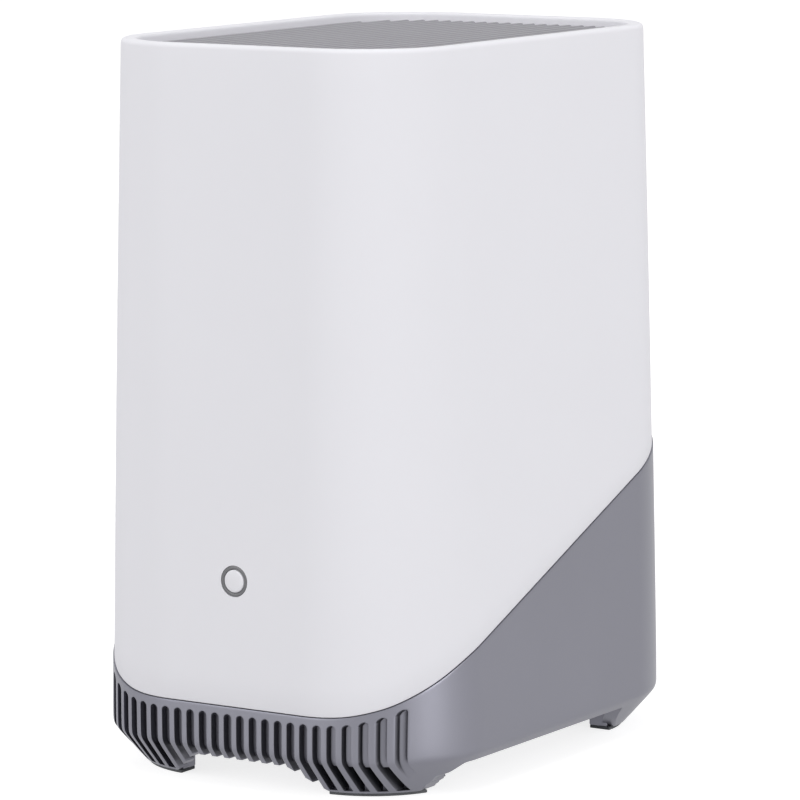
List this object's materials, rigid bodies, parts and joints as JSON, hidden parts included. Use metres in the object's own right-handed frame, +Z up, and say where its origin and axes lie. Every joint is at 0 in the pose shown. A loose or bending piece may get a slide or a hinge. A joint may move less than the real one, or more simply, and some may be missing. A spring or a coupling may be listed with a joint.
{
  "type": "security camera base station",
  "caption": "Upright tapered hub for security cameras: white shell over a slotted grey base on feet, round front button, top grille, rear ports and a drive bay underneath.",
  "frame": {"origin": "middle of the footprint, on the surface that the rubber pads rest on", "axes": "+Z up, -Y towards the front with the button, +X to the right seen from the front"},
  "size_m": [0.1022, 0.1378, 0.1764],
  "materials": {
    "white_plastic": "satin moulded plastic",
    "grey_paint": "satin plastic with a metallic grey coat",
    "grille_grey": "satin grey plastic",
    "foot_rubber": "matt rubber",
    "black_plastic": "matt black plastic",
    "sheet_steel": "plated sheet steel",
    "board_green": "glass-fibre circuit board",
    "chip_black": "moulded chip package",
    "pad_grey": "soft thermal pad",
    "sink_aluminium": "extruded aluminium",
    "pin_brass": "plated brass",
    "ring_grey": "grey translucent plastic, unlit",
    "led_white": "small surface light",
    "cone_black": "pressed cone",
    "screw_steel": "zinc plated steel",
    "cable_black": "flexible cable jacket"
  },
  "bodies": {
    "station": {"outer_shell": "white_plastic", "top_grille": "grille_grey", "base_shell": "grey_paint", "bottom_plate": "grey_paint", "foot_pad_front_left": "foot_rubber", "foot_pad_front_right": "foot_rubber", "foot_pad_back_left": "foot_rubber", "foot_pad_back_right": "foot_rubber", "chassis": "black_plastic", "drive_cage": "sheet_steel", "drive_board": "board_green", "drive_socket": "black_plastic", "main_board": "board_green", "processor": "chip_black", "thermal_pad": "pad_grey", "heat_sink": "sink_aluminium", "memory_chips": "chip_black", "storage_chip": "chip_black", "power_coils": "chip_black", "shield_can": "sheet_steel", "port_board": "board_green", "board_header": "black_plastic", "port_panel": "black_plastic", "network_socket": "black_plastic", "usb_shell": "sheet_steel", "usb_tongue": "black_plastic", "power_jack": "black_plastic", "power_pin": "pin_brass", "light_ring": "ring_grey", "front_switch": "sheet_steel", "front_board": "board_green", "front_leds": "led_white", "sync_switch": "sheet_steel", "reset_switch": "sheet_steel", "speaker_box": "black_plastic", "speaker_basket": "sheet_steel", "speaker_cone": "cone_black", "speaker_gasket": "foot_rubber", "antenna_left": "board_green", "antenna_right": "board_green", "base_screws": "screw_steel", "board_screws": "screw_steel", "port_screws": "screw_steel", "cage_screws": "screw_steel", "front_screw": "screw_steel", "front_cable": "cable_black", "antenna_lead_left": "cable_black", "antenna_lead_right": "cable_black"},
    "front_button_body": {"front_button": "white_plastic"},
    "front_plunger_body": {"front_plunger": "black_plastic"},
    "sync_button_body": {"sync_button": "grey_paint"},
    "sync_plunger_body": {"sync_plunger": "black_plastic"},
    "reset_plunger_body": {"reset_plunger": "black_plastic"},
    "drive_door_body": {"drive_door": "grey_paint"}
  },
  "joints": [
    {"name": "front_button_press", "type": "slide", "parent": "station", "child": "front_button_body", "axis": [0, 1, 0], "range_m": [0, 0.0005], "stiffness_N_per_m": 400, "springref_m": -0.0002},
    {"name": "front_plunger_press", "type": "slide", "parent": "station", "child": "front_plunger_body", "axis": [0, 1, 0], "range_m": [0, 0.0005]},
    {"name": "sync_button_press", "type": "slide", "parent": "station", "child": "sync_button_body", "axis": [0, -1, 0], "range_m": [0, 0.0005], "stiffness_N_per_m": 400, "springref_m": -0.0002},
    {"name": "sync_plunger_press", "type": "slide", "parent": "station", "child": "sync_plunger_body", "axis": [0, -1, 0], "range_m": [0, 0.0005]},
    {"name": "reset_plunger_press", "type": "slide", "parent": "station", "child": "reset_plunger_body", "axis": [0, -1, 0], "range_m": [0, 0.0003], "stiffness_N_per_m": 400, "springref_m": -0.0002},
    {"name": "drive_door_slide", "type": "slide", "parent": "station", "child": "drive_door_body", "axis": [0, 1, 0], "range_m": [0, 0.017]}
  ],
  "couplings": [
    {"joint": "front_plunger_press", "follows": "front_button_press", "ratio": 1},
    {"joint": "sync_plunger_press", "follows": "sync_button_press", "ratio": 1}
  ]
}
